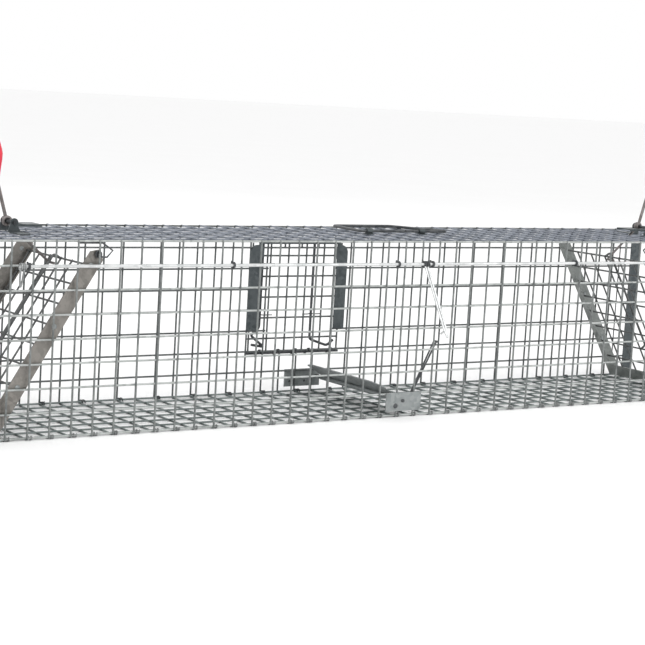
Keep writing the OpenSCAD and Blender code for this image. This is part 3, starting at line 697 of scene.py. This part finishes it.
# ---------------------------------------------------------------- rear door
def rear_door():
    """Access door wires, hinge, wraps, latches and the staples that carry them."""
    body = "rear_door"
    low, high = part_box("rear_door_mesh")
    mid = (low.y + high.y) / 2
    columns = [(-95 + 26.4 * c) * MM for c in range(6)]
    rows = [(69 + 25.75 * r) * MM for r in range(5)]
    wall = Wall((0, mid, 0), (1, 0, 0), (0, 0, 1), (0, -1, 0))
    for z in rows:
        wall.long(z, [(low.x, high.x)], columns)
    for x in columns:
        wall.cross(x, [(low.z - 2 * MM, high.z)], rows)
    wall.make("rear_door_wires", REAR_WIRE_PAINTED_SHADE, REAR_WIRE_PAINTED_SHADE, body, "rear_door_mesh")

    hinge = pivot("rear_door_hinge")
    lo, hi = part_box("rear_door_hinge_rod")
    rod = Shape().tube([(x, hinge.y, hinge.z) for x in (lo.x, 0, hi.x)], 1.5 * MM, 12)
    rod.make("rear_hinge_wire", DARK_WIRE, body, ["rear_door_hinge_rod"])

    clips = Shape()
    for x in (-82, -55, -29, -9, 24):
        start = (x * MM - 2.5 * MM, hinge.y, hinge.z)
        ring = helix(start, (1, 0, 0), (0, -0.5, 0.86), 2.15 * MM, -1.1, 3 * MM, 18)
        start = (x * MM + 0.6 * MM, HALF_W - LAYER, Z_LINES[2])
        wrap = helix(start, (1, 0, 0), (0, 0.86, -0.5), WIRE + 0.7 * MM, 1.4, 2.4 * MM, 18)
        clips.tube(ring + wrap, 0.62 * MM, 8)
    clips.make("rear_hinge_wraps", DARK_WIRE, "cage", ["rear_hinge_clips"], "clips_and_rivets")

    staples = Shape()
    for hand, x, foot, reach, hook in (
        ("left", -78, 82, 17.2, ((-12, 73), (8, 58), (-10, 61))),
        ("right", -2, 66, 13.6, ((27, 57), (36, 64))),
    ):
        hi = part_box(hand + "_rear_latch")[1]
        y = hi.y - 1.82 * MM
        path = [(x, y - 4.3 * MM, 190), (x, y, 190), (x, y, foot)] + [(x + dx, y, z) for dx, z in hook]
        path = [(px * MM, py, pz * MM) for px, py, pz in path]
        Shape().tube(fillet(path, 4 * MM), 1.66 * MM, 12).make(
            hand + "_latch_wire", DARK_WIRE, hand + "_latch", [hand + "_rear_latch"]
        )
        face = mid + 1.95 * MM
        for z in (98, 162):
            bend = [
                (-reach, face), (-4.2, face), (-2.8, y + 1.2 * MM), (0, y + 2.45 * MM),
                (2.8, y + 1.2 * MM), (4.2, face), (reach, face),
            ]
            points = [((x + dx) * MM, py, z * MM) for dx, py in bend]
            staples.tube(fillet(points, 1.5 * MM, 3), 0.7 * MM, 8)
    staples.make("staple_wires", REAR_WIRE_PAINTED_SHADE, body, ["latch_staples"], "clips_and_rivets")


# ---------------------------------------------------------------- handle
def handle():
    """Folded carrying wire on the roof."""
    lo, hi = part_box("carry_handle")
    near_z, far_z = hi.z - 1.9 * MM, lo.z + 1.9 * MM
    near_y, far_y = lo.y + 1.9 * MM, hi.y - 1.9 * MM
    path = [
        (54 * MM, near_y, near_z), (-11 * MM, near_y, near_z), (9 * MM, far_y, far_z),
        (96 * MM, far_y, far_z), (120 * MM, near_y, near_z), (56 * MM, near_y, near_z),
    ]
    Shape().tube(fillet(path, 7 * MM, 7), 1.8 * MM, 14).make("handle_wire", DARK_WIRE, "handle", ["carry_handle"])


def end_upright():
    """Thin upright wire beside the right end."""
    lo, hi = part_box("right_end_upright")
    x, y = (lo.x + hi.x) / 2, (lo.y + hi.y) / 2
    heights = [lo.z + (hi.z - lo.z) * i / 8 for i in range(9)]
    points = [(x + jitter(0.05 * MM), y, z) for z in heights]
    Shape().tube(points, 0.8 * MM, 10).make("end_upright_wire", DARK_WIRE, "cage", ["right_end_upright"])


def paint(material, *nodes):
    """Give CAD nodes that stay as they are their material."""
    for node in nodes:
        mesh = frame["nodes"][node].data
        mesh.materials.clear()
        mesh.materials.append(material)


def carried_over():
    """The CAD nodes that no Blender piece replaces."""
    paint(WARM_STRIP, "left_door_strips", "left_door_foot")
    paint(STRIP, "right_door_strips", "right_door_foot", "left_sill", "right_sill")
    # End frames, edging and lever brackets take the darkened sheet: painted shade.
    paint(DARK_STRIP_PAINTED_SHADE, "left_end_frame", "right_end_frame", "access_edging", "left_lever_bracket", "right_lever_bracket")
    paint(DARK_STRIP_PAINTED_SHADE, "handle_clips")
    paint(PLATE, "treadle_pan", "front_treadle_plate", "rear_treadle_plate")
    paint(DARK_WIRE, "left_hinge_pins", "right_hinge_pins", "left_lever_pin", "right_lever_pin")


# ---------------------------------------------------------------- studio
def studio():
    """Pale floor, white surroundings and three soft lamps."""
    mesh = bpy.data.meshes.new("studio_floor")
    size = 30.0
    mesh.from_pydata([(-size, -size, 0), (size, -size, 0), (size, size, 0), (-size, size, 0)], [], [(0, 1, 2, 3)])
    mesh.materials.append(floor_paint("studio_floor"))
    ground = bpy.data.objects.new("studio_floor", mesh)
    bpy.context.scene.collection.objects.link(ground)
    world = bpy.data.worlds.new("studio")
    world.use_nodes = True
    world.node_tree.nodes["Background"].inputs["Color"].default_value = (1, 1, 1, 1)
    world.node_tree.nodes["Background"].inputs["Strength"].default_value = 1.0
    bpy.context.scene.world = world
    for name, spot, power, wide in (
        ("key", (-1.6, -2.2, 2.6), 34, 1.6),
        ("fill", (2.2, -2.0, 1.8), 12, 2.0),
        ("back", (0.6, 2.4, 2.2), 14, 2.0),
    ):
        data = bpy.data.lights.new(name, "AREA")
        data.energy = power
        data.size = wide
        lamp = bpy.data.objects.new(name, data)
        lamp.location = spot
        lamp.rotation_euler = (Vector((0, 0, 0.1)) - Vector(spot)).to_track_quat("-Z", "Y").to_euler()
        bpy.context.scene.collection.objects.link(lamp)
    bpy.context.scene.view_settings.view_transform = "Standard"


make_camera()
# Front wall: painted highlight on the level wires, painted shade on the uprights.
cage_wall("front_wires", "front_mesh", -1, LEVEL_WIRE_PAINTED_HIGHLIGHT, FRONT_UPRIGHT_PAINTED_SHADE)
# Rear wall in the darkened wire: painted shade.
cage_wall("rear_wires", "rear_mesh", 1, REAR_WIRE_PAINTED_SHADE, REAR_WIRE_PAINTED_SHADE)
roof_wall()
floor_wall()
wrapped_ends("front_wrapped_ends", "front_edge_clips", -1, 1, ARM_WIRE)
wrapped_ends("rear_wrapped_ends", "rear_edge_clips", 1, 2, DARK_WIRE)
for hand in (-1, 1):
    end_door(hand)
    lever(hand)
trigger()
treadle()
rear_door()
handle()
end_upright()
carried_over()
studio()
